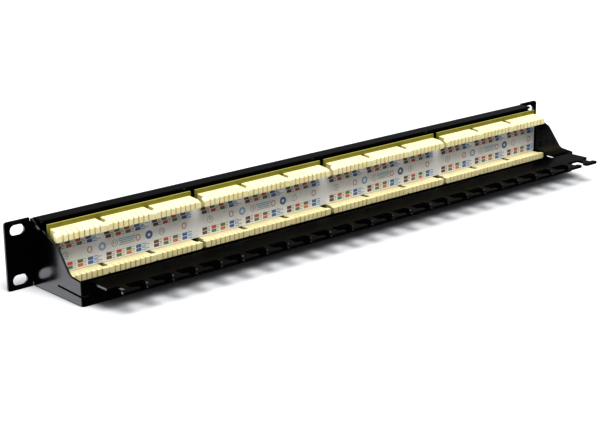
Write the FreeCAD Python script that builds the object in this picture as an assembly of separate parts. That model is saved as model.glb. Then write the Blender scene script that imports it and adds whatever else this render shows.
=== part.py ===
import FreeCAD, Part
import os
from FreeCAD import Vector

# A 19 inch, one unit high, 24 port patch panel.
# X runs along the width, -Y is the side with the sockets, +Y the side where the cables are
# terminated, and Z is up. The origin is the centre of the four rack slots, on the rear face
# of the ears. All lengths are in millimetres.

# Rack interface
PANEL_WIDTH = 482.6
PANEL_HEIGHT = 43.6
EAR_CORNER_R = 2.0
SLOT_SPACING_X = 465.1
SLOT_SPACING_Z = 31.75
SLOT_LENGTH = 10.3
SLOT_HEIGHT = 6.9

# How far a cutting shape runs past the face that it cuts
OVERSHOOT = 1.0

# Sheet steel
SHEET = 1.5
PLATE_FRONT_Y = -SHEET
HALF_HEIGHT = PANEL_HEIGHT / 2
BEND_OUTER_R = 3.0
BEND_INNER_R = BEND_OUTER_R - SHEET
LIP_HALF_WIDTH = 221.5
LIP_REAR_Y = 10.5
RELIEF_WIDTH = 2.2
RELIEF_DEPTH = 2.6

# Cable tray: floor, side walls, rear wall and the outward flange that carries the tie fingers
TRAY_HALF_WIDTH = 223.4
TRAY_REAR_Y = 53.9
TRAY_CORNER_R = 2.2
TRAY_INNER_R = 0.7
WALL_FRONT_TOP_Z = 21.2
WALL_FRONT_LAND_Y = 1.5
WALL_KNEE = (29.1, 9.2)
WALL_FOOT = (41.0, -5.6)
WALL_KNEE_R = 5.0
WALL_FOOT_R = 6.0
FLANGE_TOP_Z = -6.7
FLANGE_HALF_WIDTH = 217.5
FLANGE_REAR_Y = 72.3
FLANGE_BEND_OUTER_R = 2.4
FLANGE_BEND_INNER_R = FLANGE_BEND_OUTER_R - SHEET
FLANGE_CORNER_R = 2.0
FLOOR_EDGE_R = 0.8
FLOOR_EDGE_INNER_R = 0.4
RIM_TOP_Z = -16.2
SLIT_START_Y = 27.8
SLIT_HEIGHT = 1.3
SLIT_RISE = 1.0
SLIT_SLOPE_END_Y = 51.5

# Tie fingers
FINGER_PAIRS = 12
FINGER_PAIR_PITCH = 36.24
FINGERS_IN_PAIR_SPACING = 17.3
STEM_WIDTH = 5.0
HEAD_FRONT_Y = 79.8
HEAD_REAR_Y = 84.2
HEAD_WIDTH = 12.5
HEAD_CORNER_R = 1.6

# Modules: four circuit boards, each with six ports and six insulation displacement blocks
MODULES = 4
MODULE_PITCH = 111.33
BOARD_WIDTH = 107.5
BOARD_HALF_HEIGHT = 20.1
BOARD_FRONT_Y = 14.3
BOARD_THICKNESS = 1.6
BOARD_REAR_Y = BOARD_FRONT_Y + BOARD_THICKNESS

# The two rows of blocks face each other across a channel, which the label lines
CHANNEL_CENTRE_Z = -0.7
CHANNEL_HALF_HEIGHT = 11.5
LABEL_THICKNESS = 0.3
LABEL_MARGIN = 0.15

# Insulation displacement blocks. Heights are measured from the face on the channel outwards.
BLOCKS_PER_ROW = 3
BLOCK_PITCH = 36.24
BASE_HALF_WIDTH = 16.3
BASE_HEIGHT = 6.6
BASE_STEP_HEIGHT = 6.15
BASE_DEPTH = 6.4
COMB_HALF_WIDTH = 18.05
TOOTH_ROOT_HEIGHT = 5.8
TOOTH_TIP_HEIGHT = 4.5
TOOTH_TIP_CHAMFER = 0.3
COMB_END_CHAMFER = 0.9
BLOCK_DEPTH = 10.1
WIRES_PER_BLOCK = 8
WIRE_PITCH = 3.81
WIRE_SLIT_WIDTH = 0.5
SLIT_MOUTH_WIDTH = 1.3
SLIT_MOUTH_DEPTH = 0.5
WIRE_WELL_DEPTH = 3.2
WIRE_WELL_HALF_HEIGHT = 1.9
BLADE_HEIGHT = 2.5
BLADE_WIDTH = 2.5
BLADE_THICKNESS = 0.5
BLADE_GAP = 0.4
BLADE_GAP_DEPTH = 4.5
BLADE_TIP_BELOW_COMB = 1.6
BLADE_CLEARANCE = 0.1
BLADE_PIN_WIDTH = 0.7
PIN_STAND_OUT = 0.8
PIN_HOLE_R = 0.55

# Eight-way modular jacks
PORTS_PER_MODULE = 6
PORT_PITCH = 18.12
PORT_Z = -1.25
JACK_HALF_WIDTH = 7.6
JACK_HALF_HEIGHT = 7.8
NOSE_HALF_WIDTH = 7.3
NOSE_HALF_HEIGHT = 7.5
NOSE_PROUD = 0.4
WINDOW_CLEARANCE = 0.2
SOCKET_HALF_WIDTH = 5.9
SOCKET_HALF_HEIGHT = 3.4
SOCKET_DEPTH = 12.6
LATCH_STEPS = ((3.1, 1.5), (1.65, 3.1))
SPRING_WAYS = 8
SPRING_PITCH = 1.02
SPRING_THICKNESS = 0.35
SPRING_CHAMBER_HALF_WIDTH = 4.2
SPRING_CHAMBER_TOP = 5.7
SPRING_CHAMBER_FRONT_Y = 0.6
SPRING_TOP = 4.8
SPRING_NOSE_Y = 1.6
SPRING_TIP_Y = 7.6
SPRING_TIP = 2.5
JACK_POST_R = 1.6
JACK_POST_CLEARANCE = 0.1
JACK_POST_X = 5.6
JACK_POST_DROP = 5.2


def box(x_range, y_range, z_range):
    """Block between three pairs of limits."""
    low = Vector(x_range[0], y_range[0], z_range[0])
    size = [pair[1] - pair[0] for pair in (x_range, y_range, z_range)]
    return Part.makeBox(size[0], size[1], size[2], low)


def extrude_along_x(outline_yz, x_range):
    """Prism with a closed (Y, Z) outline."""
    points = [Vector(x_range[0], y, z) for y, z in outline_yz]
    face = Part.Face(Part.makePolygon(points + points[:1]))
    return face.extrude(Vector(x_range[1] - x_range[0], 0, 0))


def extrude_along_z(outline_xy, z_range):
    """Prism with a closed (X, Y) outline."""
    points = [Vector(x, y, z_range[0]) for x, y in outline_xy]
    face = Part.Face(Part.makePolygon(points + points[:1]))
    return face.extrude(Vector(0, 0, z_range[1] - z_range[0]))


def pin_along_y(x, z, radius, y_range):
    """Round pin or hole parallel to Y."""
    return Part.makeCylinder(radius, y_range[1] - y_range[0], Vector(x, y_range[0], z), Vector(0, 1, 0))


def edges_through(shape, x=None, y=None, z=None, tolerance=0.01):
    """Straight edges whose two ends both lie at the given coordinates."""
    wanted = [(axis, value) for axis, value in enumerate((x, y, z)) if value is not None]
    found = []
    for edge in shape.Edges:
        ends = [vertex.Point for vertex in edge.Vertexes]
        if len(ends) != 2:
            continue
        if all(abs(end[axis] - value) < tolerance for end in ends for axis, value in wanted):
            found.append(edge)
    return found


def rack_slot(x, z):
    """Round-ended slot through an ear."""
    end_r = SLOT_HEIGHT / 2
    reach = SLOT_LENGTH / 2 - end_r
    through = (PLATE_FRONT_Y - OVERSHOOT, OVERSHOOT)
    slot = box((x - reach, x + reach), through, (z - end_r, z + end_r))
    for side in (-1, 1):
        slot = slot.fuse(pin_along_y(x + side * reach, z, end_r, through))
    return slot


def port_positions():
    """X of each port, numbered from the end that is on the left when the sockets are faced."""
    half_row = (PORTS_PER_MODULE - 1) / 2
    return [
        module_x(module) + (port - half_row) * PORT_PITCH
        for module in range(MODULES)
        for port in range(PORTS_PER_MODULE)
    ]


def module_x(module):
    """X of a module's centre."""
    return (module - (MODULES - 1) / 2) * MODULE_PITCH


def block_positions():
    """(X of the centre, outward direction) of each block: upper row (+1) first, then lower (-1)."""
    half_row = (BLOCKS_PER_ROW - 1) / 2
    return [
        (module_x(module) + (place - half_row) * BLOCK_PITCH, outward)
        for outward in (1, -1)
        for module in range(MODULES)
        for place in range(BLOCKS_PER_ROW)
    ]


def block_z(outward, height):
    """Z at a height above the channel face of a block."""
    return CHANNEL_CENTRE_Z + outward * (CHANNEL_HALF_HEIGHT + height)


def wire_positions(block_x):
    """X of each wire slit of a block."""
    half_row = (WIRES_PER_BLOCK - 1) / 2
    return [block_x + (wire - half_row) * WIRE_PITCH for wire in range(WIRES_PER_BLOCK)]


def spring_positions(port_x):
    """X of each contact spring of a jack."""
    half_row = (SPRING_WAYS - 1) / 2
    return [port_x + (way - half_row) * SPRING_PITCH for way in range(SPRING_WAYS)]


def folded_plate():
    """Face plate between the ears, with the top lip folded back from it."""
    lip_bottom = HALF_HEIGHT - SHEET
    outline = [
        (PLATE_FRONT_Y, -HALF_HEIGHT),
        (PLATE_FRONT_Y, HALF_HEIGHT),
        (LIP_REAR_Y, HALF_HEIGHT),
        (LIP_REAR_Y, lip_bottom),
        (0, lip_bottom),
        (0, -HALF_HEIGHT),
    ]
    plate = extrude_along_x(outline, (-LIP_HALF_WIDTH, LIP_HALF_WIDTH))
    plate = plate.makeFillet(BEND_INNER_R, edges_through(plate, y=0, z=lip_bottom))
    return plate.makeFillet(BEND_OUTER_R, edges_through(plate, y=PLATE_FRONT_Y, z=HALF_HEIGHT))


def ear(side):
    """Rack ear with a neck that leaves a relief notch above and below the fold."""
    neck_half_height = HALF_HEIGHT - RELIEF_DEPTH
    neck_end = LIP_HALF_WIDTH + RELIEF_WIDTH
    tip = PANEL_WIDTH / 2
    thickness = (PLATE_FRONT_Y, 0)
    neck_x = sorted((side * LIP_HALF_WIDTH, side * neck_end))
    neck = box(neck_x, thickness, (-neck_half_height, neck_half_height))
    flag = box(sorted((side * neck_end, side * tip)), thickness, (-HALF_HEIGHT, HALF_HEIGHT))
    corners = []
    for level in (-1, 1):
        corners += edges_through(flag, x=side * tip, z=level * HALF_HEIGHT)
    flag = flag.makeFillet(EAR_CORNER_R, corners)
    slots = [rack_slot(side * SLOT_SPACING_X / 2, level * SLOT_SPACING_Z / 2) for level in (-1, 1)]
    return neck.fuse(flag).cut(slots)


def front_panel():
    """Face plate with both rack ears, the port windows and the folded top lip."""
    window_x = NOSE_HALF_WIDTH + WINDOW_CLEARANCE
    window_z = NOSE_HALF_HEIGHT + WINDOW_CLEARANCE
    windows = [
        box(
            (x - window_x, x + window_x),
            (PLATE_FRONT_Y - OVERSHOOT, OVERSHOOT),
            (PORT_Z - window_z, PORT_Z + window_z),
        )
        for x in port_positions()
    ]
    plate = folded_plate().cut(windows)
    return plate.multiFuse([ear(-1), ear(1)]).removeSplitter()


def band_solid(half, y_range, z_range, corner_r, edge_r):
    """Block with its rear corners and then its floor edges rounded."""
    solid = box((-half, half), y_range, z_range)
    rear = y_range[1]
    bottom = z_range[0]
    corners = edges_through(solid, x=-half, y=rear) + edges_through(solid, x=half, y=rear)
    solid = solid.makeFillet(corner_r, corners)
    floor_edges = edges_through(solid, y=rear, z=bottom)
    for side in (-1, 1):
        floor_edges += edges_through(solid, x=side * half, z=bottom)
    return solid.makeFillet(edge_r, floor_edges)


def tray_band():
    """Floor of the tray with the low rim that turns round both rear corners."""
    outer = band_solid(
        TRAY_HALF_WIDTH, (0, TRAY_REAR_Y), (-HALF_HEIGHT, RIM_TOP_Z), TRAY_CORNER_R, FLOOR_EDGE_R
    )
    inner = band_solid(
        TRAY_HALF_WIDTH - SHEET,
        (-OVERSHOOT, TRAY_REAR_Y - SHEET),
        (-HALF_HEIGHT + SHEET, RIM_TOP_Z + OVERSHOOT),
        TRAY_INNER_R,
        FLOOR_EDGE_INNER_R,
    )
    return outer.cut(inner)


def side_wall(side):
    """Tapered wall above the sloping slit, bent round the rear corner as far as the flange."""
    slit_top = RIM_TOP_Z + SLIT_HEIGHT
    inner_y = TRAY_REAR_Y - SHEET
    outline = [
        (0, RIM_TOP_Z),
        (0, WALL_FRONT_TOP_Z),
        (WALL_FRONT_LAND_Y, WALL_FRONT_TOP_Z),
        WALL_KNEE,
        WALL_FOOT,
        (inner_y, FLANGE_TOP_Z),
        (TRAY_REAR_Y, FLANGE_TOP_Z),
        (TRAY_REAR_Y, slit_top),
        (SLIT_SLOPE_END_Y, slit_top),
        (SLIT_START_Y, slit_top + SLIT_RISE),
        (SLIT_START_Y, RIM_TOP_Z + SLIT_RISE),
        (SLIT_SLOPE_END_Y, RIM_TOP_Z),
    ]
    outer_x = side * TRAY_HALF_WIDTH
    inner_x = side * (TRAY_HALF_WIDTH - SHEET)
    wall = extrude_along_x(outline, sorted((outer_x, inner_x)))
    wall = wall.makeFillet(WALL_KNEE_R, edges_through(wall, y=WALL_KNEE[0], z=WALL_KNEE[1]))
    wall = wall.makeFillet(WALL_FOOT_R, edges_through(wall, y=WALL_FOOT[0], z=WALL_FOOT[1]))
    turned_x = sorted((side * FLANGE_HALF_WIDTH, outer_x))
    turned_end = box(turned_x, (inner_y, TRAY_REAR_Y), (slit_top, FLANGE_TOP_Z))
    wall = wall.fuse(turned_end).removeSplitter()
    wall = wall.makeFillet(TRAY_CORNER_R, edges_through(wall, x=outer_x, y=TRAY_REAR_Y))
    return wall.makeFillet(TRAY_INNER_R, edges_through(wall, x=inner_x, y=inner_y))


def tie_flange():
    """Rear wall above the rim, folded outwards into the flange."""
    inner_y = TRAY_REAR_Y - SHEET
    half = FLANGE_HALF_WIDTH
    flange_bottom = FLANGE_TOP_Z - SHEET
    wall = box((-half, half), (inner_y, TRAY_REAR_Y), (RIM_TOP_Z, FLANGE_TOP_Z))
    flange = box((-half, half), (inner_y, FLANGE_REAR_Y), (flange_bottom, FLANGE_TOP_Z))
    corners = []
    for side in (-1, 1):
        corners += edges_through(flange, x=side * half, y=FLANGE_REAR_Y)
    flange = flange.makeFillet(FLANGE_CORNER_R, corners)
    folded = wall.fuse(flange).removeSplitter()
    folded = folded.makeFillet(
        FLANGE_BEND_INNER_R, edges_through(folded, y=TRAY_REAR_Y, z=flange_bottom)
    )
    return folded.makeFillet(FLANGE_BEND_OUTER_R, edges_through(folded, y=inner_y, z=FLANGE_TOP_Z))


def tie_finger(x):
    """T-shaped finger that a cable tie is looped round, in line with the flange."""
    z_range = (FLANGE_TOP_Z - SHEET, FLANGE_TOP_Z)
    half_stem = STEM_WIDTH / 2
    half_head = HEAD_WIDTH / 2
    stem = box((x - half_stem, x + half_stem), (FLANGE_REAR_Y, HEAD_FRONT_Y), z_range)
    head = box((x - half_head, x + half_head), (HEAD_FRONT_Y, HEAD_REAR_Y), z_range)
    corners = []
    for side in (-1, 1):
        for y in (HEAD_FRONT_Y, HEAD_REAR_Y):
            corners += edges_through(head, x=x + side * half_head, y=y)
    return stem.fuse(head.makeFillet(HEAD_CORNER_R, corners))


def finger_positions():
    """X of each tie finger."""
    half_row = (FINGER_PAIRS - 1) / 2
    return [
        (pair - half_row) * FINGER_PAIR_PITCH + side * FINGERS_IN_PAIR_SPACING / 2
        for pair in range(FINGER_PAIRS)
        for side in (-1, 1)
    ]


def cable_tray():
    """Tray folded from one sheet, welded to the back of the face plate."""
    return tray_band().multiFuse([side_wall(-1), side_wall(1), tie_flange()]).removeSplitter()


def circuit_board(module):
    """Board drilled for the pins of its blocks and jacks."""
    x = module_x(module)
    half = BOARD_WIDTH / 2
    board = box(
        (x - half, x + half), (BOARD_FRONT_Y, BOARD_REAR_Y), (-BOARD_HALF_HEIGHT, BOARD_HALF_HEIGHT)
    )
    holes = []
    for block_x, outward in block_positions():
        if abs(block_x - x) < half:
            blade_z = block_z(outward, BLADE_HEIGHT)
            holes += [round_hole(wire_x, blade_z, PIN_HOLE_R) for wire_x in wire_positions(block_x)]
    for port_x in port_positions():
        if abs(port_x - x) < half:
            post_z = PORT_Z - JACK_POST_DROP
            tail_z = PORT_Z + SPRING_TOP
            for side in (-1, 1):
                post_x = port_x + side * JACK_POST_X
                holes.append(round_hole(post_x, post_z, JACK_POST_R + JACK_POST_CLEARANCE))
            holes += [spring_hole(spring_x, tail_z) for spring_x in spring_positions(port_x)]
    return board.cut(holes)


def through_board():
    """Y range of a drill that passes through a board."""
    return (BOARD_FRONT_Y - OVERSHOOT, BOARD_REAR_Y + OVERSHOOT)


def round_hole(x, z, radius):
    """Hole for a contact's pin or a jack's post."""
    return pin_along_y(x, z, radius, through_board())


def spring_hole(x, z):
    """Square hole for a jack spring's tail."""
    half = SPRING_THICKNESS / 2 + BLADE_CLEARANCE
    return box((x - half, x + half), through_board(), (z - half, z + half))


def code_label():
    """Printed wiring-code strip that lines the channel across all four boards."""
    half_width = module_x(MODULES - 1) + BOARD_WIDTH / 2
    half_height = CHANNEL_HALF_HEIGHT - LABEL_MARGIN
    return box(
        (-half_width, half_width),
        (BOARD_REAR_Y, BOARD_REAR_Y + LABEL_THICKNESS),
        (CHANNEL_CENTRE_Z - half_height, CHANNEL_CENTRE_Z + half_height),
    )


def block_outline(outward, sections):
    """(Y, Z) outline of a block from (Y, height) pairs, closed along the flat channel face."""
    first_y = sections[0][0]
    last_y = sections[-1][0]
    face = [(last_y, 0), (first_y, 0)]
    return [(y, block_z(outward, height)) for y, height in sections + face]


def idc_block(x, outward):
    """Comb-shaped housing that eight wires are pressed into."""
    step_y = BOARD_REAR_Y + BASE_DEPTH
    tip_y = BOARD_REAR_Y + BLOCK_DEPTH
    base_outline = block_outline(outward, [(BOARD_REAR_Y, BASE_HEIGHT), (step_y, BASE_STEP_HEIGHT)])
    comb_outline = block_outline(
        outward,
        [
            (step_y, TOOTH_ROOT_HEIGHT),
            (tip_y - TOOTH_TIP_CHAMFER, TOOTH_TIP_HEIGHT),
            (tip_y, TOOTH_TIP_HEIGHT - TOOTH_TIP_CHAMFER),
        ],
    )
    base = extrude_along_x(base_outline, (x - BASE_HALF_WIDTH, x + BASE_HALF_WIDTH))
    comb = extrude_along_x(comb_outline, (x - COMB_HALF_WIDTH, x + COMB_HALF_WIDTH))
    comb = comb.makeChamfer(COMB_END_CHAMFER, outer_end_edges(comb, x, outward))
    cuts = [wire_slit(wire_x, outward, step_y, tip_y) for wire_x in wire_positions(x)]
    return base.fuse(comb).cut(cuts)


def outer_end_edges(comb, x, outward):
    """Edges between the sloping outer face of a comb and its two ends."""
    lowest = CHANNEL_HALF_HEIGHT + TOOTH_TIP_HEIGHT - TOOTH_TIP_CHAMFER / 2
    found = []
    for end_x in (x - COMB_HALF_WIDTH, x + COMB_HALF_WIDTH):
        for edge in edges_through(comb, x=end_x):
            heights = [outward * (vertex.Z - CHANNEL_CENTRE_Z) for vertex in edge.Vertexes]
            if min(heights) > lowest:
                found.append(edge)
    return found


def wire_slit(x, outward, step_y, tip_y):
    """Slit for one wire with its flared mouth, the well behind it and the contact's pocket."""
    half_slit = WIRE_SLIT_WIDTH / 2
    half_mouth = SLIT_MOUTH_WIDTH / 2
    z_ends = (block_z(outward, -OVERSHOOT), block_z(outward, BASE_HEIGHT + OVERSHOOT))
    outline = [
        (x - half_slit, step_y),
        (x - half_slit, tip_y - SLIT_MOUTH_DEPTH),
        (x - half_mouth, tip_y),
        (x - half_mouth, tip_y + OVERSHOOT),
        (x + half_mouth, tip_y + OVERSHOOT),
        (x + half_mouth, tip_y),
        (x + half_slit, tip_y - SLIT_MOUTH_DEPTH),
        (x + half_slit, step_y),
    ]
    slit = extrude_along_z(outline, sorted(z_ends))
    blade_z = block_z(outward, BLADE_HEIGHT)
    well = box(
        (x - half_slit, x + half_slit),
        (step_y - WIRE_WELL_DEPTH, step_y),
        (blade_z - WIRE_WELL_HALF_HEIGHT, blade_z + WIRE_WELL_HALF_HEIGHT),
    )
    half_pocket = BLADE_WIDTH / 2 + BLADE_CLEARANCE
    half_gap = BLADE_THICKNESS / 2 + BLADE_CLEARANCE
    pocket = box(
        (x - half_pocket, x + half_pocket),
        (BOARD_REAR_Y - OVERSHOOT, tip_y - BLADE_TIP_BELOW_COMB + BLADE_CLEARANCE),
        (blade_z - half_gap, blade_z + half_gap),
    )
    return slit.fuse([well, pocket])


def idc_contact(x, outward):
    """Forked blade that cuts through the insulation, with its pin through the board."""
    z = block_z(outward, BLADE_HEIGHT)
    tip_y = BOARD_REAR_Y + BLOCK_DEPTH - BLADE_TIP_BELOW_COMB
    half_blade = BLADE_WIDTH / 2
    half_pin = BLADE_PIN_WIDTH / 2
    half_gap = BLADE_GAP / 2
    shoulder_y = BOARD_REAR_Y + BLADE_CLEARANCE
    outline = [
        (x - half_pin, BOARD_FRONT_Y - PIN_STAND_OUT),
        (x - half_pin, shoulder_y),
        (x - half_blade, shoulder_y),
        (x - half_blade, tip_y),
        (x - half_gap, tip_y - half_gap),
        (x - half_gap, tip_y - BLADE_GAP_DEPTH),
        (x + half_gap, tip_y - BLADE_GAP_DEPTH),
        (x + half_gap, tip_y - half_gap),
        (x + half_blade, tip_y),
        (x + half_blade, shoulder_y),
        (x + half_pin, shoulder_y),
        (x + half_pin, BOARD_FRONT_Y - PIN_STAND_OUT),
    ]
    half_thickness = BLADE_THICKNESS / 2
    return extrude_along_z(outline, (z - half_thickness, z + half_thickness))


def jack(x):
    """Modular jack: nose through the face plate, body against the board, two locating posts."""
    shoulder = box(
        (x - JACK_HALF_WIDTH, x + JACK_HALF_WIDTH),
        (0, BOARD_FRONT_Y),
        (PORT_Z - JACK_HALF_HEIGHT, PORT_Z + JACK_HALF_HEIGHT),
    )
    nose_front = PLATE_FRONT_Y - NOSE_PROUD
    nose = box(
        (x - NOSE_HALF_WIDTH, x + NOSE_HALF_WIDTH),
        (nose_front, 0),
        (PORT_Z - NOSE_HALF_HEIGHT, PORT_Z + NOSE_HALF_HEIGHT),
    )
    post_z = PORT_Z - JACK_POST_DROP
    posts = [
        pin_along_y(x + side * JACK_POST_X, post_z, JACK_POST_R, (BOARD_FRONT_Y, BOARD_REAR_Y))
        for side in (-1, 1)
    ]
    socket_y = (nose_front - OVERSHOOT, nose_front + SOCKET_DEPTH)
    cuts = [
        box(
            (x - SOCKET_HALF_WIDTH, x + SOCKET_HALF_WIDTH),
            socket_y,
            (PORT_Z - SOCKET_HALF_HEIGHT, PORT_Z + SOCKET_HALF_HEIGHT),
        ),
        box(
            (x - SPRING_CHAMBER_HALF_WIDTH, x + SPRING_CHAMBER_HALF_WIDTH),
            (SPRING_CHAMBER_FRONT_Y, BOARD_FRONT_Y + OVERSHOOT),
            (PORT_Z, PORT_Z + SPRING_CHAMBER_TOP),
        ),
    ]
    for half_width, drop in LATCH_STEPS:
        bottom = PORT_Z - SOCKET_HALF_HEIGHT - drop
        cuts.append(box((x - half_width, x + half_width), socket_y, (bottom, PORT_Z)))
    return shoulder.multiFuse([nose] + posts).removeSplitter().cut(cuts)


def jack_spring(x):
    """Contact spring: tail through the board, run along the roof, then bent back into the socket."""
    top = PORT_Z + SPRING_TOP
    half = SPRING_THICKNESS / 2
    tail_y = BOARD_REAR_Y - BLADE_CLEARANCE
    tip_z = PORT_Z + SPRING_TIP
    outline = [
        (tail_y, top + half),
        (SPRING_NOSE_Y, top + half),
        (SPRING_NOSE_Y - SPRING_THICKNESS, top),
        (SPRING_NOSE_Y, top - SPRING_THICKNESS),
        (SPRING_TIP_Y, tip_z),
        (SPRING_TIP_Y, tip_z + SPRING_THICKNESS),
        (SPRING_NOSE_Y + 2 * SPRING_THICKNESS, top - half),
        (tail_y, top - half),
    ]
    return extrude_along_x(outline, (x - half, x + half))


def export(shapes, node):
    """Write the solids of one node to its own file."""
    Part.makeCompound(shapes).exportStep(os.path.join("parts", node + ".step"))


def main():
    os.makedirs("parts", exist_ok=True)
    export([front_panel()], "front_panel")
    export([cable_tray()], "cable_tray")
    export([tie_finger(x) for x in finger_positions()], "tie_fingers")
    export([code_label()], "code_label")
    for module in range(MODULES):
        export([circuit_board(module)], f"circuit_board_{module + 1}")
    contacts = []
    for number, (x, outward) in enumerate(block_positions(), start=1):
        export([idc_block(x, outward)], f"idc_block_{number:02d}")
        contacts += [idc_contact(wire_x, outward) for wire_x in wire_positions(x)]
    export(contacts, "idc_contacts")
    springs = []
    for number, x in enumerate(port_positions(), start=1):
        export([jack(x)], f"jack_{number:02d}")
        springs += [jack_spring(spring_x) for spring_x in spring_positions(x)]
    export(springs, "jack_springs")


main()
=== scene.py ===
import math
import bmesh
import bpy
from mathutils import Matrix, Vector


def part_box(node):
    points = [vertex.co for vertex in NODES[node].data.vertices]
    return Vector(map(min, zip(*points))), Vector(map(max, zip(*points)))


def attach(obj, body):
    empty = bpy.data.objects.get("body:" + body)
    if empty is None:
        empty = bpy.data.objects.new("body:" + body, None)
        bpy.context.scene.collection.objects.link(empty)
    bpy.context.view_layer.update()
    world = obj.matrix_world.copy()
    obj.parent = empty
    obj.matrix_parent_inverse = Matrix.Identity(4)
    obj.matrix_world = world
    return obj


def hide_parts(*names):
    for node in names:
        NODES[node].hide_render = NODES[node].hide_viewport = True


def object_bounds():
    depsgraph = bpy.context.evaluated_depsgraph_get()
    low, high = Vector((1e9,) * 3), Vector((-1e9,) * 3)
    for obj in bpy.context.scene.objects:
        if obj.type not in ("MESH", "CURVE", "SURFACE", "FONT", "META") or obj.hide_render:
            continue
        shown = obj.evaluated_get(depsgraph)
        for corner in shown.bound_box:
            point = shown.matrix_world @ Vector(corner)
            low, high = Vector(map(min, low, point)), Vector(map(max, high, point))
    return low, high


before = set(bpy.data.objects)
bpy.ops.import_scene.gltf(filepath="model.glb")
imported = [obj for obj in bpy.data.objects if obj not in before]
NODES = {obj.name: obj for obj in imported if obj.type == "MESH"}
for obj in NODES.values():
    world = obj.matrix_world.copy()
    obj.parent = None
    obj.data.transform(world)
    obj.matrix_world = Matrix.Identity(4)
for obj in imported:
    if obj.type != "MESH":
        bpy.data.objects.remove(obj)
CAD_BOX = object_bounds()

MM = 0.001

# Camera: seen from behind, above and the panel's +X end
CAMERA_AZIMUTH = math.radians(139.19)
CAMERA_ELEVATION = math.radians(16.75)
CAMERA_ROLL = math.radians(-0.71)
CAMERA_TARGET = Vector((7.1, 0.0, -20.6)) * MM
CAMERA_DISTANCE = 1097.3 * MM
CAMERA_LENS_MM = 94.1
SENSOR_WIDTH_MM = 36.0

# Stage. A rise is the upward part of a direction, from -1 straight down to 1 straight up. The
# card's edge is given by the cosine of the angle from its middle, outside and inside.
FLOOR_RADIUS = 6.0
FLOOR_SIDES = 96
FLOOR_GAP = 0.02 * MM
ROOM_COLOUR = (0.97, 0.98, 1.0, 1.0)
ROOM_BELOW = 0.03
ROOM_AT_HORIZON = 0.42
ROOM_OVERHEAD = 0.95
HORIZON_RISE = (-0.15, 0.15)
OVERHEAD_RISE = (0.40, 0.95)
CARD_DIRECTION = (0.626, -0.725, -0.288)
CARD_STRENGTH = 2.3
CARD_EDGE = (0.70, 0.92)
KEY_TILT = math.radians(-22)
KEY_TURN = math.radians(-8)
KEY_SPREAD = math.radians(42)
KEY_STRENGTH = 2.6

# Where the values of a noise texture mostly lie
NOISE_RANGE = (0.3, 0.7)

# Gloss of the powder coat face on and at a glance. It fades over a turn away from the eye, in which
# 0 is face on and 1 is edge on.
COAT_GLOSS = 0.62
COAT_GLOSS_GLANCING = 0.015
COAT_FADE = (0.42, 0.63)
COAT_GLOSS_TINT = (0.92, 0.92, 1.0, 1.0)

# Edge rounding of the pieces, as radii
SHEET_EDGE = 0.22 * MM
BLOCK_EDGE = 0.20 * MM
JACK_EDGE = 0.25 * MM
EDGE_SEGMENTS = 2
EDGE_ANGLE = math.radians(35)
MERGE_DISTANCE = 0.002 * MM
FLAT_ANGLE = math.radians(0.6)

# Blocks, their contacts' height above the wiring channel, and the solder round the contacts' pins
BOARDS = 4
BLOCKS = 24
BLOCKS_IN_ROW = 12
PORTS = 24
WIRES_PER_BLOCK = 8
WIRE_PITCH = 3.81 * MM
BLOCK_PITCH = 36.24 * MM
BLADE_HEIGHT = 2.5 * MM
SOLDER_PAD_R = 0.85 * MM
SOLDER_TIP_R = 0.30 * MM
SOLDER_HEIGHT = 0.75 * MM
SOLDER_STEPS = 3
SOLDER_SIDES = 12

# Printing on the wiring-code label. Shifts run along X from the middle of a block or board. A frame
# has a width, a height and a corner radius, a ring has an outer and an inner radius, and a rule has a
# colour, a rise above the middle line and a width.
LABEL_CORNER = 0.8 * MM
INK_THICKNESS = 0.03 * MM
PAIR_PITCH = 7.5 * MM
BAR_WIDTH = 3.9 * MM
BAR_HEIGHT = 2.1 * MM
BAR_CORNER = 0.25 * MM
UPPER_LINES = (6.6 * MM, 4.05 * MM)
LOWER_LINES = (-7.4 * MM, -9.9 * MM)
TOP_LINE_SHIFT = 0.9 * MM
STRIPE_GAP = 0.35 * MM
STRIPE_WIDTH = 2.2 * MM
BLUE_STRIPE_WIDTH = 3.4 * MM
STRIPE_HEIGHT = 0.62 * MM
MIDDLE_Z = -1.65 * MM
FIGURE_HEIGHT = 2.2 * MM
FIGURE_RING = (2.3 * MM, 2.0 * MM)
FIGURE_SHIFT = 6.7 * MM
FRAME_SHIFT = -11.0 * MM
FRAME_OUTSIDE = (3.7 * MM, 4.3 * MM, 1.6 * MM)
FRAME_INSIDE = (2.3 * MM, 2.9 * MM, 0.9 * MM)
PALE_RING_SHIFT = 16.0 * MM
PALE_RING = (2.7 * MM, 1.4 * MM)
BLUE_RING_SHIFT = -19.5 * MM
BLUE_RING = (2.75 * MM, 1.1 * MM)
RING_SIDES = 40
RULES_SHIFT = -2.5 * MM
RULE_HEIGHT = 0.6 * MM
RULES = (
    ("sky", 1.95 * MM, 13.0 * MM),
    ("sky", 0.75 * MM, 12.2 * MM),
    ("teal", -0.55 * MM, 10.4 * MM),
    ("pale_red", -1.75 * MM, 12.6 * MM),
)
TICK_WIDTH = 2.9 * MM
TICK_HEIGHT = 0.42 * MM

# Front numbering, and the height of a figure as a share of the font's size
NUMBER_HEIGHT = 3.6 * MM
NUMBER_ABOVE_JACK = 4.4 * MM
FIGURE_IN_FONT = 0.7


# ---------------------------------------------------------------- materials

def start_material(name):
    """New node material and its main shader."""
    material = bpy.data.materials.new(name)
    material.use_nodes = True
    tree = material.node_tree
    surface = tree.nodes["Principled BSDF"]
    return material, tree, surface


def place(tree):
    """Point of the surface in the panel's frame at rest, in metres."""
    return tree.nodes.new("ShaderNodeNewGeometry").outputs["Position"]


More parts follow.
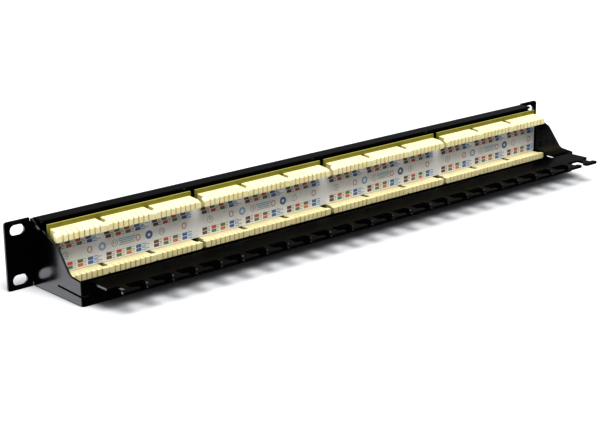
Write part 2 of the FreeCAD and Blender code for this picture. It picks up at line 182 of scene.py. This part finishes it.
def noise(tree, scale, detail=3.0, roughness=0.5):
    """Noise with features about 1 / scale metres across."""
    node = tree.nodes.new("ShaderNodeTexNoise")
    node.inputs["Scale"].default_value = scale
    node.inputs["Detail"].default_value = detail
    node.inputs["Roughness"].default_value = roughness
    tree.links.new(place(tree), node.inputs["Vector"])
    return node.outputs["Fac"]


def colour_ramp(tree, factor, stops):
    """Colour from a factor, through (position, colour) stops."""
    node = tree.nodes.new("ShaderNodeValToRGB")
    elements = node.color_ramp.elements
    while len(elements) < len(stops):
        elements.new(0.5)
    for element, (position, colour) in zip(elements, stops):
        element.position = position
        element.color = (*colour, 1.0)
    tree.links.new(factor, node.inputs["Fac"])
    return node.outputs["Color"]


def value_between(tree, factor, low, high):
    """Number from low to high as the factor crosses the range in which noise mostly lies."""
    node = tree.nodes.new("ShaderNodeMapRange")
    node.inputs["From Min"].default_value = NOISE_RANGE[0]
    node.inputs["From Max"].default_value = NOISE_RANGE[1]
    node.inputs["To Min"].default_value = low
    node.inputs["To Max"].default_value = high
    tree.links.new(factor, node.inputs["Value"])
    return node.outputs["Result"]


def uneven_roughness(tree, surface, scale, low, high):
    """Roughness that wanders from low to high, in patches about 1 / scale metres across."""
    tree.links.new(value_between(tree, noise(tree, scale), low, high), surface.inputs["Roughness"])


def bump(tree, surface, height, depth, strength=1.0, under=None):
    """Surface relief of a given depth in metres, over an earlier relief if one is given."""
    node = tree.nodes.new("ShaderNodeBump")
    node.inputs["Distance"].default_value = depth
    node.inputs["Strength"].default_value = strength
    tree.links.new(height, node.inputs["Height"])
    if under is not None:
        tree.links.new(under, node.inputs["Normal"])
    tree.links.new(node.outputs["Normal"], surface.inputs["Normal"])
    return node.outputs["Normal"]


def mixed_colour(tree, factor, low, high):
    """Colour that wanders between two close tones."""
    return colour_ramp(tree, factor, ((0.35, low), (0.65, high)))


def powder_coat():
    """Gloss black powder coat: orange peel, faint clouds, and a gloss that fades at a glance."""
    material, tree, surface = start_material("black_powder_coat")
    clouds = noise(tree, 45.0, 4.0)
    tone = mixed_colour(tree, clouds, (0.0016, 0.0016, 0.0020), (0.0032, 0.0032, 0.0040))
    tree.links.new(tone, surface.inputs["Base Color"])
    smudges = noise(tree, 75.0, 5.0, 0.6)
    tree.links.new(value_between(tree, smudges, 0.13, 0.20), surface.inputs["Roughness"])
    surface.inputs["Specular Tint"].default_value = COAT_GLOSS_TINT
    turned_away = tree.nodes.new("ShaderNodeLayerWeight").outputs["Facing"]
    gloss = tree.nodes.new("ShaderNodeMapRange")
    gloss.inputs["From Min"].default_value = COAT_FADE[0]
    gloss.inputs["From Max"].default_value = COAT_FADE[1]
    gloss.inputs["To Min"].default_value = COAT_GLOSS
    gloss.inputs["To Max"].default_value = COAT_GLOSS_GLANCING
    tree.links.new(turned_away, gloss.inputs["Value"])
    tree.links.new(gloss.outputs["Result"], surface.inputs["Specular IOR Level"])
    peel = bump(tree, surface, noise(tree, 700.0, 2.0), 0.006 * MM)
    bump(tree, surface, noise(tree, 5200.0, 1.0), 0.0008 * MM, 1.0, peel)
    return material


def ivory_plastic():
    """Moulded ivory plastic with a fine mould texture and a little translucency."""
    material, tree, surface = start_material("ivory_plastic")
    clouds = noise(tree, 60.0, 3.0)
    tone = mixed_colour(tree, clouds, (0.735, 0.662, 0.385), (0.775, 0.706, 0.435))
    tree.links.new(tone, surface.inputs["Base Color"])
    uneven_roughness(tree, surface, 130.0, 0.38, 0.52)
    surface.inputs["Subsurface Weight"].default_value = 0.12
    surface.inputs["Subsurface Radius"].default_value = (1.0, 0.75, 0.4)
    surface.inputs["Subsurface Scale"].default_value = 1.2 * MM
    bump(tree, surface, noise(tree, 3000.0, 2.0), 0.006 * MM)
    return material


def solder_mask():
    """Yellow-olive solder mask, with the glass cloth and buried copper just showing through."""
    material, tree, surface = start_material("solder_mask")
    clouds = noise(tree, 90.0, 3.0)
    tone = mixed_colour(tree, clouds, (0.165, 0.152, 0.016), (0.205, 0.190, 0.024))
    copper = tree.nodes.new("ShaderNodeTexBrick")
    copper.inputs["Scale"].default_value = 120.0
    copper.inputs["Mortar Size"].default_value = 0.06
    copper.inputs["Color1"].default_value = (1.0, 1.0, 1.0, 1.0)
    copper.inputs["Color2"].default_value = (0.93, 0.94, 0.90, 1.0)
    copper.inputs["Mortar"].default_value = (0.84, 0.86, 0.78, 1.0)
    spin = tree.nodes.new("ShaderNodeMapping")
    spin.inputs["Rotation"].default_value = (math.radians(90), 0.0, 0.0)
    tree.links.new(place(tree), spin.inputs["Vector"])
    tree.links.new(spin.outputs["Vector"], copper.inputs["Vector"])
    tint = tree.nodes.new("ShaderNodeMixRGB")
    tint.blend_type = "MULTIPLY"
    tint.inputs["Fac"].default_value = 0.6
    tree.links.new(tone, tint.inputs["Color1"])
    tree.links.new(copper.outputs["Color"], tint.inputs["Color2"])
    tree.links.new(tint.outputs["Color"], surface.inputs["Base Color"])
    uneven_roughness(tree, surface, 200.0, 0.26, 0.38)
    cloth = bump(tree, surface, noise(tree, 2200.0, 1.0), 0.004 * MM)
    bump(tree, surface, copper.outputs["Fac"], 0.012 * MM, -0.5, cloth)
    return material


def laminate_edge():
    """Sawn edge of the glass-epoxy laminate, with its plies as fine lines."""
    material, tree, surface = start_material("laminate_edge")
    grain = tree.nodes.new("ShaderNodeTexWave")
    grain.bands_direction = "Y"
    grain.inputs["Scale"].default_value = 1600.0
    grain.inputs["Distortion"].default_value = 1.5
    tree.links.new(place(tree), grain.inputs["Vector"])
    tone = mixed_colour(tree, grain.outputs["Fac"], (0.238, 0.224, 0.042), (0.302, 0.286, 0.066))
    tree.links.new(tone, surface.inputs["Base Color"])
    surface.inputs["Roughness"].default_value = 0.62
    bump(tree, surface, noise(tree, 4000.0, 2.0), 0.01 * MM)
    return material


def label_film():
    """Light grey satin label film with a faint fibrous mottle."""
    material, tree, surface = start_material("label_film")
    mottle = noise(tree, 420.0, 4.0)
    tone = mixed_colour(tree, mottle, (0.735, 0.732, 0.742), (0.780, 0.777, 0.786))
    tree.links.new(tone, surface.inputs["Base Color"])
    uneven_roughness(tree, surface, 150.0, 0.40, 0.55)
    bump(tree, surface, noise(tree, 1500.0, 3.0), 0.006 * MM)
    return material


def ink(name, colour, screen=0.82):
    """Printed ink: dots of the full colour on a slightly paler tone of it."""
    material, tree, surface = start_material(name)
    dots = tree.nodes.new("ShaderNodeTexVoronoi")
    dots.inputs["Scale"].default_value = 4200.0
    tree.links.new(place(tree), dots.inputs["Vector"])
    paler = tuple(1.0 - (1.0 - part) * screen for part in colour)
    tone = colour_ramp(tree, dots.outputs["Distance"], ((0.30, colour), (0.75, paler)))
    tree.links.new(tone, surface.inputs["Base Color"])
    uneven_roughness(tree, surface, 600.0, 0.42, 0.55)
    bump(tree, surface, noise(tree, 2600.0, 2.0), 0.003 * MM)
    return material


def black_plastic():
    """Black moulded plastic of the jacks, with a fine spark-eroded texture."""
    material, tree, surface = start_material("black_plastic")
    tone = mixed_colour(tree, noise(tree, 120.0), (0.012, 0.012, 0.013), (0.020, 0.020, 0.021))
    tree.links.new(tone, surface.inputs["Base Color"])
    uneven_roughness(tree, surface, 300.0, 0.34, 0.46)
    bump(tree, surface, noise(tree, 3600.0, 2.0), 0.008 * MM)
    return material


def plated_metal(name, dull, bright, rough_low, rough_high):
    """Plated contact metal with a fine grain and slightly uneven plating."""
    material, tree, surface = start_material(name)
    tone = mixed_colour(tree, noise(tree, 700.0, 4.0), dull, bright)
    tree.links.new(tone, surface.inputs["Base Color"])
    surface.inputs["Metallic"].default_value = 1.0
    uneven_roughness(tree, surface, 1800.0, rough_low, rough_high)
    bump(tree, surface, noise(tree, 9000.0, 1.0), 0.001 * MM)
    return material


def studio_floor():
    """Matte pale sweep with a barely visible mottle."""
    material, tree, surface = start_material("studio_floor")
    tone = mixed_colour(tree, noise(tree, 1.7, 4.0), (0.600, 0.603, 0.608), (0.620, 0.623, 0.628))
    tree.links.new(tone, surface.inputs["Base Color"])
    surface.inputs["Roughness"].default_value = 0.7
    surface.inputs["Specular IOR Level"].default_value = 0.25
    return material


COAT = powder_coat()
IVORY = ivory_plastic()
MASK = solder_mask()
LAMINATE = laminate_edge()
FILM = label_film()
JACK_BLACK = black_plastic()
TIN = plated_metal("tin_plate", (0.62, 0.61, 0.57), (0.74, 0.73, 0.69), 0.22, 0.36)
GOLD = plated_metal("gold_plate", (0.86, 0.60, 0.24), (0.96, 0.72, 0.34), 0.16, 0.28)
SOLDER = plated_metal("solder", (0.55, 0.55, 0.56), (0.70, 0.70, 0.70), 0.18, 0.34)
NUMBER_INK = ink("number_ink", (0.78, 0.78, 0.76), 0.95)
INKS = {
    "brown": ink("ink_brown", (0.085, 0.030, 0.022)),
    "red": ink("ink_red", (0.500, 0.040, 0.035)),
    "orange": ink("ink_orange", (0.560, 0.130, 0.030)),
    "green": ink("ink_green", (0.060, 0.165, 0.045)),
    "blue": ink("ink_blue", (0.035, 0.110, 0.300)),
    "pale_brown": ink("ink_pale_brown", (0.400, 0.350, 0.330), 0.9),
    "pale_red": ink("ink_pale_red", (0.560, 0.400, 0.380), 0.9),
    "pale_green": ink("ink_pale_green", (0.390, 0.460, 0.370), 0.9),
    "pale_blue": ink("ink_pale_blue", (0.200, 0.350, 0.600), 0.9),
    "pale_orange": ink("ink_pale_orange", (0.580, 0.430, 0.370), 0.9),
    "sky": ink("ink_sky", (0.270, 0.400, 0.570), 0.9),
    "rose": ink("ink_rose", (0.470, 0.300, 0.285), 0.9),
    "teal": ink("ink_teal", (0.190, 0.440, 0.400), 0.9),
    "grey": ink("ink_grey", (0.280, 0.265, 0.260), 0.9),
}


# ---------------------------------------------------------------- mesh helpers

def link_object(name, data):
    """New object in the scene."""
    piece = bpy.data.objects.new(name, data)
    bpy.context.scene.collection.objects.link(piece)
    return piece


def fill_mesh(name, work, materials):
    """Mesh from a bmesh, with its materials."""
    mesh = bpy.data.meshes.new(name)
    work.to_mesh(mesh)
    work.free()
    for material in materials:
        mesh.materials.append(material)
    return mesh


def merge_flat_faces(work):
    """Turns the triangles of each flat face back into as few faces as possible."""
    bmesh.ops.remove_doubles(work, verts=work.verts, dist=MERGE_DISTANCE)
    bmesh.ops.dissolve_limit(work, angle_limit=FLAT_ANGLE, verts=work.verts, edges=work.edges)


def moved_mesh(work, name, offset, materials):
    """Mesh moved by an offset, smooth-shaded, all in its first material."""
    bmesh.ops.translate(work, verts=work.verts, vec=offset)
    for face in work.faces:
        face.smooth = True
        face.material_index = 0
    return fill_mesh(name, work, materials)


def node_work(*nodes):
    """Editable copy of the meshes of CAD nodes, with their flat faces whole again."""
    work = bmesh.new()
    for node in nodes:
        work.from_mesh(NODES[node].data)
    merge_flat_faces(work)
    return work


def cut_across(work, x_positions):
    """Cuts straight through all faces at each X."""
    for x in sorted(x_positions):
        everything = work.verts[:] + work.edges[:] + work.faces[:]
        bmesh.ops.bisect_plane(
            work, geom=everything, dist=MERGE_DISTANCE, plane_co=(x, 0, 0), plane_no=(1, 0, 0)
        )


def plate_with_windows():
    """Face plate, cut at the sides of its port windows so that no face runs round a window."""
    low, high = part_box("jack_01")
    work = node_work("front_panel")
    cut_across(work, {round(vertex.co.x, 6) for vertex in work.verts if low.z < vertex.co.z < high.z})
    return work


def split_at_fingers(work):
    """Cuts the tray along both sides of each finger's stem, where it meets the flange."""
    root_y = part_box("tie_fingers")[0].y
    stem_sides = {
        round(vertex.co.x, 6) for vertex in work.verts if abs(vertex.co.y - root_y) < MERGE_DISTANCE
    }
    flange_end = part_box("cable_tray")[1].x
    cut_across(work, (side for side in stem_sides if abs(side) < flange_end))


def sheet_with_fingers():
    """Tray and fingers joined into one sheet: the faces on which they meet are taken out."""
    work = node_work("cable_tray", "tie_fingers")
    split_at_fingers(work)
    bmesh.ops.remove_doubles(work, verts=work.verts, dist=MERGE_DISTANCE)
    seen = {}
    for face in work.faces:
        key = frozenset(vertex.index for vertex in face.verts)
        seen.setdefault(key, []).append(face)
    doubled = [face for faces in seen.values() if len(faces) > 1 for face in faces]
    bmesh.ops.delete(work, geom=doubled, context="FACES_ONLY")
    merge_flat_faces(work)
    return work


def round_edges(piece, radius):
    """Rounds every sharp edge of a piece."""
    modifier = piece.modifiers.new("rounded_edges", "BEVEL")
    modifier.width = radius
    modifier.segments = EDGE_SEGMENTS
    modifier.limit_method = "ANGLE"
    modifier.angle_limit = EDGE_ANGLE
    modifier.miter_outer = "MITER_ARC"
    weighting = piece.modifiers.new("flat_faces", "WEIGHTED_NORMAL")
    weighting.mode = "FACE_AREA"
    weighting.weight = 100


def centre_of(node):
    """Middle of a CAD node's box."""
    low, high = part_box(node)
    return (low + high) / 2


def prism(work, outline, y_range, material_index):
    """Closed prism, whose (X, Z) outline runs anticlockwise as seen from +Y."""
    near = [work.verts.new((x, y_range[1], z)) for x, z in outline]
    far = [work.verts.new((x, y_range[0], z)) for x, z in outline]
    count = len(outline)
    faces = [work.faces.new(near), work.faces.new(far[::-1])]
    for i in range(count):
        j = (i + 1) % count
        faces.append(work.faces.new((near[j], near[i], far[i], far[j])))
    for face in faces:
        face.material_index = material_index


def rounded_rectangle(x, z, width, height, radius, steps=4):
    """Outline of a rectangle with round corners."""
    points = []
    corners = ((1, 1, 0), (-1, 1, 90), (-1, -1, 180), (1, -1, 270))
    for side_x, side_z, start in corners:
        centre_x = x + side_x * (width / 2 - radius)
        centre_z = z + side_z * (height / 2 - radius)
        for step in range(steps + 1):
            angle = math.radians(start + 90 * step / steps)
            points.append((centre_x + radius * math.cos(angle), centre_z + radius * math.sin(angle)))
    return points


def band(work, outer, inner, y_range, material_index):
    """Closed flat ring between two outlines with the same number of points."""
    loops = [
        [work.verts.new((x, y, z)) for x, z in outline]
        for outline in (outer, inner)
        for y in y_range
    ]
    outer_low, outer_high, inner_low, inner_high = loops
    count = len(outer)
    for i in range(count):
        j = (i + 1) % count
        quads = (
            (outer_high[i], outer_high[j], inner_high[j], inner_high[i]),
            (outer_low[j], outer_low[i], inner_low[i], inner_low[j]),
            (outer_low[i], outer_low[j], outer_high[j], outer_high[i]),
            (inner_low[j], inner_low[i], inner_high[i], inner_high[j]),
        )
        for quad in quads:
            work.faces.new(quad).material_index = material_index


def ellipse(x, z, half_width, half_height):
    """Outline of an ellipse."""
    return [
        (
            x + half_width * math.cos(2 * math.pi * step / RING_SIDES),
            z + half_height * math.sin(2 * math.pi * step / RING_SIDES),
        )
        for step in range(RING_SIDES)
    ]


def number_mesh(text, height, thickness, materials, faces_rear):
    """Solid numeral standing up in the X-Z plane, centred, readable from -Y or from +Y."""
    curve = bpy.data.curves.new("number", "FONT")
    curve.body = text
    curve.size = height / FIGURE_IN_FONT
    curve.align_x = "CENTER"
    curve.align_y = "CENTER"
    curve.extrude = thickness / 2
    curve.resolution_u = 4
    maker = bpy.data.objects.new("number", curve)
    mesh = bpy.data.meshes.new_from_object(maker)
    mesh.transform(Matrix.Rotation(math.radians(90), 4, "X"))
    if faces_rear:
        mesh.transform(Matrix.Rotation(math.radians(180), 4, "Z"))
    mesh.materials.clear()
    for material in materials:
        mesh.materials.append(material)
    bpy.data.objects.remove(maker)
    bpy.data.curves.remove(curve)
    return mesh


# ---------------------------------------------------------------- pieces

def finish_piece(piece, slot, *nodes):
    """Rides on the one body and stands for CAD nodes. The slot is not used."""
    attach(piece, "root")
    if nodes:
        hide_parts(*nodes)


def build_coated(work, node, *replaced):
    """Sheet metal with the rounded edges that the coat leaves."""
    piece = link_object(node + "_coated", moved_mesh(work, node + "_coated", Vector(), [COAT]))
    round_edges(piece, SHEET_EDGE)
    finish_piece(piece, "black_powder_coat", node, *replaced)


def build_sheet_metal():
    """Face plate, and the tray with its tie fingers as the one folded sheet that they are."""
    build_coated(plate_with_windows(), "front_panel")
    build_coated(sheet_with_fingers(), "cable_tray", "tie_fingers")


def build_repeated(prefix, numbers, radius, material, slot):
    """Identical pieces that share one mesh."""
    first = f"{prefix}_{numbers[0]:02d}"
    shared = moved_mesh(node_work(first), first + "_moulding", -centre_of(first), [material])
    for number in numbers:
        node = f"{prefix}_{number:02d}"
        piece = link_object(node + "_moulded", shared)
        piece.location = centre_of(node)
        round_edges(piece, radius)
        finish_piece(piece, slot, node)


def build_boards():
    """Circuit boards: masked faces, bare sawn edges."""
    first = "circuit_board_1"
    shared = moved_mesh(node_work(first), "board_masked", -centre_of(first), [MASK, LAMINATE])
    for face in shared.polygons:
        face.use_smooth = False
        face.material_index = 0 if abs(face.normal.y) > 0.5 else 1
    for number in range(1, BOARDS + 1):
        node = f"circuit_board_{number}"
        piece = link_object(node + "_masked", shared)
        piece.location = centre_of(node)
        finish_piece(piece, "board_laminate", node)


def solder_joint(work, x, z, face_y):
    """Small concave fillet of solder round a pin, standing towards -Y."""
    turns = [math.pi / 2 * step / SOLDER_STEPS for step in range(SOLDER_STEPS + 1)]
    profile = [
        (
            SOLDER_PAD_R + (SOLDER_TIP_R - SOLDER_PAD_R) * math.sin(turn),
            SOLDER_HEIGHT * (1 - math.cos(turn)),
        )
        for turn in turns
    ]
    rings = [
        [
            work.verts.new((
                x + r * math.cos(2 * math.pi * side / SOLDER_SIDES),
                face_y - rise,
                z + r * math.sin(2 * math.pi * side / SOLDER_SIDES),
            ))
            for side in range(SOLDER_SIDES)
        ]
        for r, rise in profile
    ]
    work.faces.new(rings[0])
    work.faces.new(rings[-1][::-1])
    for lower, upper in zip(rings, rings[1:]):
        for side in range(SOLDER_SIDES):
            following = (side + 1) % SOLDER_SIDES
            work.faces.new((lower[following], lower[side], upper[side], upper[following])).smooth = True


def pin_height(node):
    """Z of a block's row of pins, which lie near its face on the wiring channel."""
    low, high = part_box(node)
    if low.z > 0:
        return low.z + BLADE_HEIGHT
    return high.z - BLADE_HEIGHT


def build_solder():
    """Solder joints of the block pins on the socket side of each board."""
    for board in range(1, BOARDS + 1):
        low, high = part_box(f"circuit_board_{board}")
        work = bmesh.new()
        for number in range(1, BLOCKS + 1):
            node = f"idc_block_{number:02d}"
            middle_x = centre_of(node).x
            if not low.x < middle_x < high.x:
                continue
            for wire in range(WIRES_PER_BLOCK):
                x = middle_x + (wire - (WIRES_PER_BLOCK - 1) / 2) * WIRE_PITCH
                solder_joint(work, x, pin_height(node), low.y)
        mesh = fill_mesh(f"solder_{board}", work, [SOLDER])
        finish_piece(link_object(f"solder_joints_{board}", mesh), "tinned_bronze")


def bar(work, x, z, width, height, index, y_range):
    """One printed bar with round corners."""
    radius = min(BAR_CORNER, height * 0.4)
    outline = rounded_rectangle(x, z, width, height, radius, 2)
    prism(work, outline[::-1], y_range, index)


def print_lines(work, block_x, lines, colours, ink_index, y_range):
    """Colour code of one block: four pairs, each with a solid bar and a striped one in two lines."""
    for line_z, line_colours in zip(lines, colours):
        shift = TOP_LINE_SHIFT if line_z == UPPER_LINES[0] else 0.0
        for pair, colour in enumerate(line_colours):
            x = block_x + ((len(line_colours) - 1) / 2 - pair) * PAIR_PITCH + shift
            bar(work, x, line_z, BAR_WIDTH, BAR_HEIGHT, ink_index[colour], y_range)
            stripe_width = BLUE_STRIPE_WIDTH if colour == "blue" else STRIPE_WIDTH
            stripe_x = x - BAR_WIDTH / 2 - STRIPE_GAP - stripe_width / 2
            paler = ink_index["pale_" + colour]
            for side in (-1, 1):
                stripe_z = line_z + side * (BAR_HEIGHT - STRIPE_HEIGHT) / 2
                bar(work, stripe_x, stripe_z, stripe_width, STRIPE_HEIGHT, paler, y_range)


def print_block(work, block_x, ink_index, y_range):
    """Both lines of the upper and the lower block; between them a small frame and a number's ring."""
    upper = (("brown", "green", "red", "blue"), ("brown", "red", "green", "blue"))
    lower = (("brown", "red", "green", "blue"), ("brown", "green", "orange", "blue"))
    print_lines(work, block_x, UPPER_LINES, upper, ink_index, y_range)
    print_lines(work, block_x, LOWER_LINES, lower, ink_index, y_range)
    frame_x = block_x + FRAME_SHIFT
    outer = rounded_rectangle(frame_x, MIDDLE_Z, *FRAME_OUTSIDE)
    inner = rounded_rectangle(frame_x, MIDDLE_Z, *FRAME_INSIDE)
    band(work, outer, inner, y_range, ink_index["rose"])
    figure_x = block_x + FIGURE_SHIFT
    rim, hole = (ellipse(figure_x, MIDDLE_Z, radius, radius) for radius in FIGURE_RING)
    band(work, rim, hole, y_range, ink_index["grey"])


def print_module(work, board_x, ink_index, y_range):
    """Marks that each board has once: two rings, four plain rules and short ticks at the joints."""
    rings = ((PALE_RING_SHIFT, PALE_RING, "sky"), (BLUE_RING_SHIFT, BLUE_RING, "blue"))
    for shift, (outer_r, inner_r), colour in rings:
        x = board_x + shift
        outer = ellipse(x, MIDDLE_Z, outer_r, outer_r)
        inner = ellipse(x, MIDDLE_Z, inner_r, inner_r)
        band(work, outer, inner, y_range, ink_index[colour])
    for colour, rise, width in RULES:
        rule_z = MIDDLE_Z + rise
        bar(work, board_x + RULES_SHIFT, rule_z, width, RULE_HEIGHT, ink_index[colour], y_range)
    for joint_x in (board_x - BLOCK_PITCH / 2, board_x + BLOCK_PITCH / 2):
        for line_z in UPPER_LINES + LOWER_LINES:
            bar(work, joint_x, line_z, TICK_WIDTH, TICK_HEIGHT, ink_index["grey"], y_range)


def print_figures(work, y_middle, index):
    """Block numbers on the label, readable from behind."""
    for number in range(1, BLOCKS_IN_ROW + 1):
        block_x = centre_of(f"idc_block_{number:02d}").x
        numeral = number_mesh(str(number), FIGURE_HEIGHT, INK_THICKNESS, [], True)
        numeral.transform(Matrix.Translation((block_x + FIGURE_SHIFT, y_middle, MIDDLE_Z)))
        already = len(work.faces)
        work.from_mesh(numeral)
        work.faces.ensure_lookup_table()
        for face in work.faces[already:]:
            face.material_index = index
        bpy.data.meshes.remove(numeral)


def build_label():
    """Label film across all four boards, with its printing standing on it as ink."""
    low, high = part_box("code_label")
    middle = (low + high) / 2
    names = list(INKS)
    ink_index = {name: order for order, name in enumerate(names, start=1)}
    film_top = high.y - INK_THICKNESS
    y_range = (film_top - INK_THICKNESS / 2, high.y)
    work = bmesh.new()
    film = rounded_rectangle(middle.x, middle.z, high.x - low.x, high.z - low.z, LABEL_CORNER)
    prism(work, film[::-1], (low.y, film_top), 0)
    for number in range(1, BLOCKS_IN_ROW + 1):
        print_block(work, centre_of(f"idc_block_{number:02d}").x, ink_index, y_range)
    for board in range(1, BOARDS + 1):
        print_module(work, centre_of(f"circuit_board_{board}").x, ink_index, y_range)
    print_figures(work, high.y - INK_THICKNESS / 2, ink_index["grey"])
    mesh = fill_mesh("code_label_printed", work, [FILM] + [INKS[name] for name in names])
    finish_piece(link_object("code_label_printed", mesh), "printed_label", "code_label")


def build_port_numbers():
    """Port numbers printed above the sockets on the face plate."""
    plate_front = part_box("front_panel")[0].y
    for port in range(1, PORTS + 1):
        low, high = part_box(f"jack_{port:02d}")
        numeral = number_mesh(str(port), NUMBER_HEIGHT, INK_THICKNESS, [NUMBER_INK], False)
        figure = link_object(f"port_number_{port:02d}", numeral)
        middle_x = (low.x + high.x) / 2
        figure.location = (middle_x, plate_front - INK_THICKNESS / 4, high.z + NUMBER_ABOVE_JACK)
        finish_piece(figure, "printed_label")


def paint_contacts():
    """Plated metal for the contacts, which keep their CAD shape."""
    for node, material in (("idc_contacts", TIN), ("jack_springs", GOLD)):
        mesh = NODES[node].data
        for index in range(len(mesh.materials)):
            mesh.materials[index] = material


# ---------------------------------------------------------------- stage

def build_camera():
    """Camera on the viewing side, looking at a point near the middle of the panel's floor."""
    back = Vector((
        math.sin(CAMERA_AZIMUTH) * math.cos(CAMERA_ELEVATION),
        -math.cos(CAMERA_AZIMUTH) * math.cos(CAMERA_ELEVATION),
        math.sin(CAMERA_ELEVATION),
    ))
    level_right = Vector((0, 0, 1)).cross(back).normalized()
    level_up = back.cross(level_right)
    right = math.cos(CAMERA_ROLL) * level_right + math.sin(CAMERA_ROLL) * level_up
    up = math.cos(CAMERA_ROLL) * level_up - math.sin(CAMERA_ROLL) * level_right
    data = bpy.data.cameras.new("camera")
    data.lens = CAMERA_LENS_MM
    data.sensor_width = SENSOR_WIDTH_MM
    data.sensor_fit = "HORIZONTAL"
    data.clip_start = 0.01
    data.clip_end = 50.0
    camera = link_object("camera", data)
    turn = Matrix((right, up, back)).transposed().to_4x4()
    camera.matrix_world = Matrix.Translation(CAMERA_TARGET + back * CAMERA_DISTANCE) @ turn
    bpy.context.scene.camera = camera


def build_floor():
    """Wide round floor that the panel rests on."""
    rest_z = CAD_BOX[0][2] - FLOOR_GAP
    work = bmesh.new()
    rim = [
        work.verts.new((
            FLOOR_RADIUS * math.cos(2 * math.pi * side / FLOOR_SIDES),
            FLOOR_RADIUS * math.sin(2 * math.pi * side / FLOOR_SIDES),
            rest_z,
        ))
        for side in range(FLOOR_SIDES)
    ]
    work.faces.new(rim)
    floor = link_object("floor", fill_mesh("floor", work, [studio_floor()]))
    floor.visible_glossy = False


def soft_step(tree, value, value_range, result_range):
    """Smooth change from one result to another over a range of values."""
    step = tree.nodes.new("ShaderNodeMapRange")
    step.interpolation_type = "SMOOTHSTEP"
    step.inputs["From Min"].default_value = value_range[0]
    step.inputs["From Max"].default_value = value_range[1]
    step.inputs["To Min"].default_value = result_range[0]
    step.inputs["To Max"].default_value = result_range[1]
    tree.links.new(value, step.inputs["Value"])
    return step.outputs["Result"]


def added(tree, first, second):
    """Sum of two values."""
    total = tree.nodes.new("ShaderNodeMath")
    total.operation = "ADD"
    tree.links.new(first, total.inputs[0])
    tree.links.new(second, total.inputs[1])
    return total.outputs["Value"]


def room_light(tree):
    """Dark below, dim at the horizon, bright overhead; the end walls mirror a low light card."""
    background = tree.nodes["Background"]
    background.inputs["Color"].default_value = ROOM_COLOUR
    direction = tree.nodes.new("ShaderNodeTexCoord").outputs["Generated"]
    parts = tree.nodes.new("ShaderNodeSeparateXYZ")
    tree.links.new(direction, parts.inputs["Vector"])
    height = parts.outputs["Z"]
    horizon = soft_step(tree, height, HORIZON_RISE, (ROOM_BELOW, ROOM_AT_HORIZON))
    overhead = soft_step(tree, height, OVERHEAD_RISE, (0.0, ROOM_OVERHEAD - ROOM_AT_HORIZON))
    towards_card = tree.nodes.new("ShaderNodeVectorMath")
    towards_card.operation = "DOT_PRODUCT"
    towards_card.inputs[1].default_value = CARD_DIRECTION
    tree.links.new(direction, towards_card.inputs[0])
    card = soft_step(tree, towards_card.outputs["Value"], CARD_EDGE, (0.0, CARD_STRENGTH))
    total = added(tree, added(tree, horizon, overhead), card)
    tree.links.new(total, background.inputs["Strength"])


def build_lights():
    """Studio room and a broad soft key from above, leaning towards the cable side."""
    world = bpy.data.worlds.new("studio")
    world.use_nodes = True
    room_light(world.node_tree)
    bpy.context.scene.world = world
    key = bpy.data.lights.new("key", "SUN")
    key.energy = KEY_STRENGTH
    key.angle = KEY_SPREAD
    lamp = link_object("key", key)
    lamp.rotation_euler = (KEY_TILT, 0.0, KEY_TURN)
    bpy.context.scene.view_settings.view_transform = "Standard"
    bpy.context.scene.view_settings.look = "High Contrast"


build_camera()
build_lights()
build_floor()
build_sheet_metal()
for row in (range(1, BLOCKS_IN_ROW + 1), range(BLOCKS_IN_ROW + 1, BLOCKS + 1)):
    build_repeated("idc_block", row, BLOCK_EDGE, IVORY, "ivory_plastic")
build_repeated("jack", range(1, PORTS + 1), JACK_EDGE, JACK_BLACK, "black_plastic")
build_boards()
build_solder()
build_label()
build_port_numbers()
paint_contacts()
